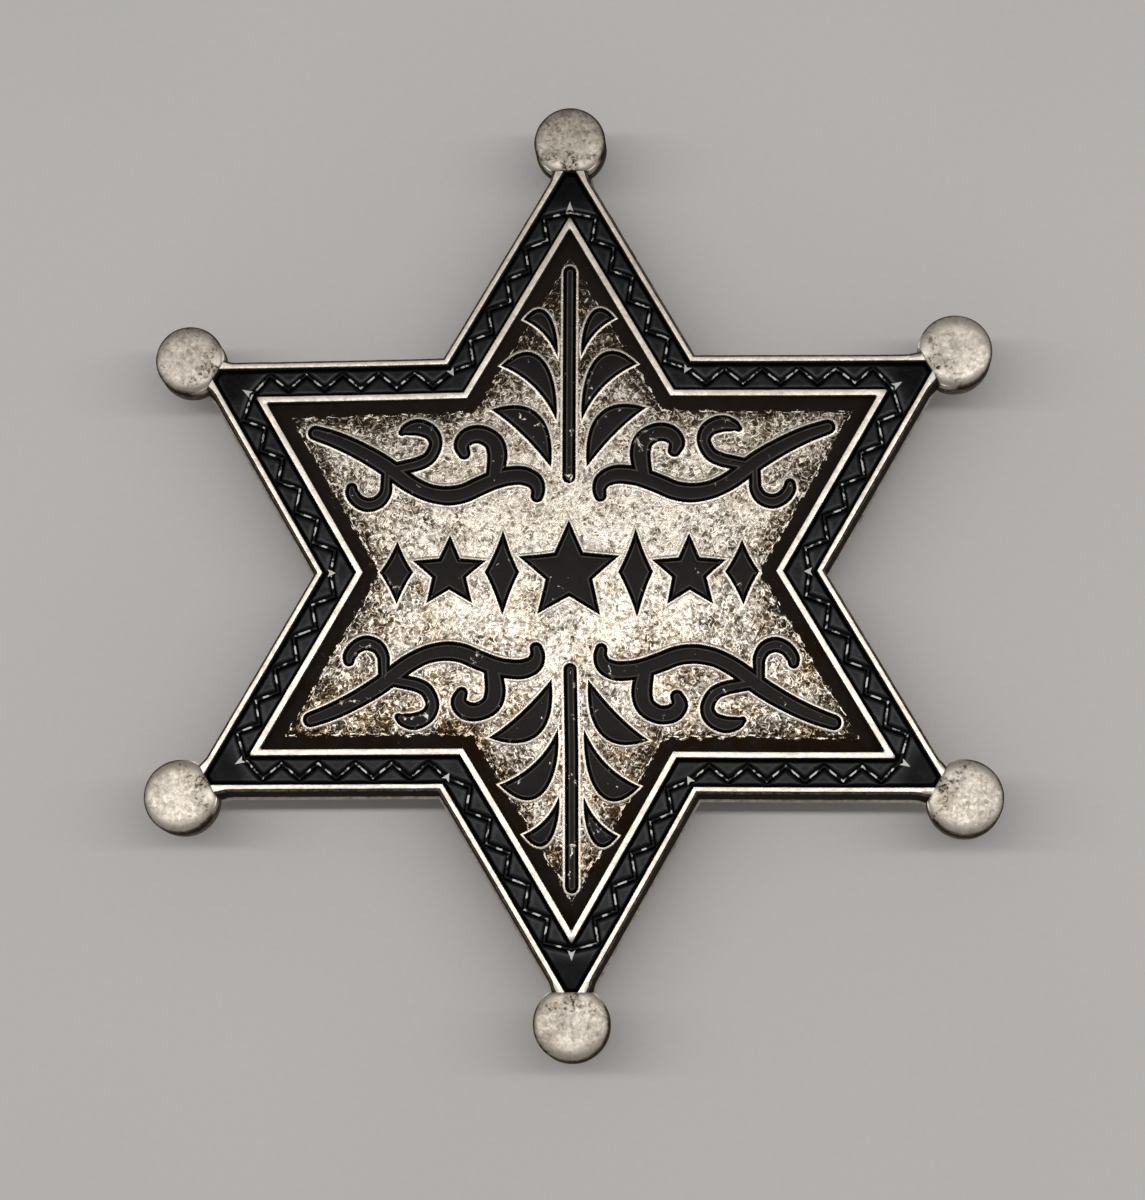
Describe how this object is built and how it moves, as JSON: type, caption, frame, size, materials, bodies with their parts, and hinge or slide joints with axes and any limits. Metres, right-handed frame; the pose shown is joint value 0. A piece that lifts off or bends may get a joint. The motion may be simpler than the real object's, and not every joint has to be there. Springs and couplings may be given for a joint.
{
  "type": "six-pointed star badge",
  "caption": "Six-pointed star badge with ball tips, an enamelled zigzag border, enamel-filled scrolls, leaves and stars, and a bar pin on its back.",
  "frame": {"origin": "below the centre of the star, on the surface that the badge's pin lies on", "axes": "+Z out of the badge's face, +Y towards its top point, +X to the right seen from the front"},
  "size_m": [0.066, 0.0754, 0.0068],
  "materials": {
    "antique_silver": "antique silver plate on cast zinc alloy, rubbed bright on its edges and dark in its hollows",
    "border_enamel": "glossy black enamel with a blue cast",
    "mark_enamel": "satin brown-black enamel",
    "pin_metal": "nickel-plated steel"
  },
  "bodies": {
    "root": {"star_casting": "antique_silver", "border_enamel_outer": "border_enamel", "border_enamel_inner": "border_enamel", "stem_fill_upper": "mark_enamel", "stem_fill_lower": "mark_enamel", "leaf_fill_upper_right_1": "mark_enamel", "leaf_fill_upper_right_2": "mark_enamel", "leaf_fill_upper_right_3": "mark_enamel", "leaf_fill_upper_left_1": "mark_enamel", "leaf_fill_upper_left_2": "mark_enamel", "leaf_fill_upper_left_3": "mark_enamel", "leaf_fill_lower_left_1": "mark_enamel", "leaf_fill_lower_left_2": "mark_enamel", "leaf_fill_lower_left_3": "mark_enamel", "leaf_fill_lower_right_1": "mark_enamel", "leaf_fill_lower_right_2": "mark_enamel", "leaf_fill_lower_right_3": "mark_enamel", "scroll_fill_upper_right": "mark_enamel", "scroll_fill_upper_left": "mark_enamel", "scroll_fill_lower_left": "mark_enamel", "scroll_fill_lower_right": "mark_enamel", "centre_star_fill": "mark_enamel", "side_star_fill_right": "mark_enamel", "side_star_fill_left": "mark_enamel", "lozenge_fill_right": "mark_enamel", "lozenge_fill_left": "mark_enamel", "end_lozenge_fill_right": "mark_enamel", "end_lozenge_fill_left": "mark_enamel", "pin_back": "pin_metal"}
  },
  "joints": []
}
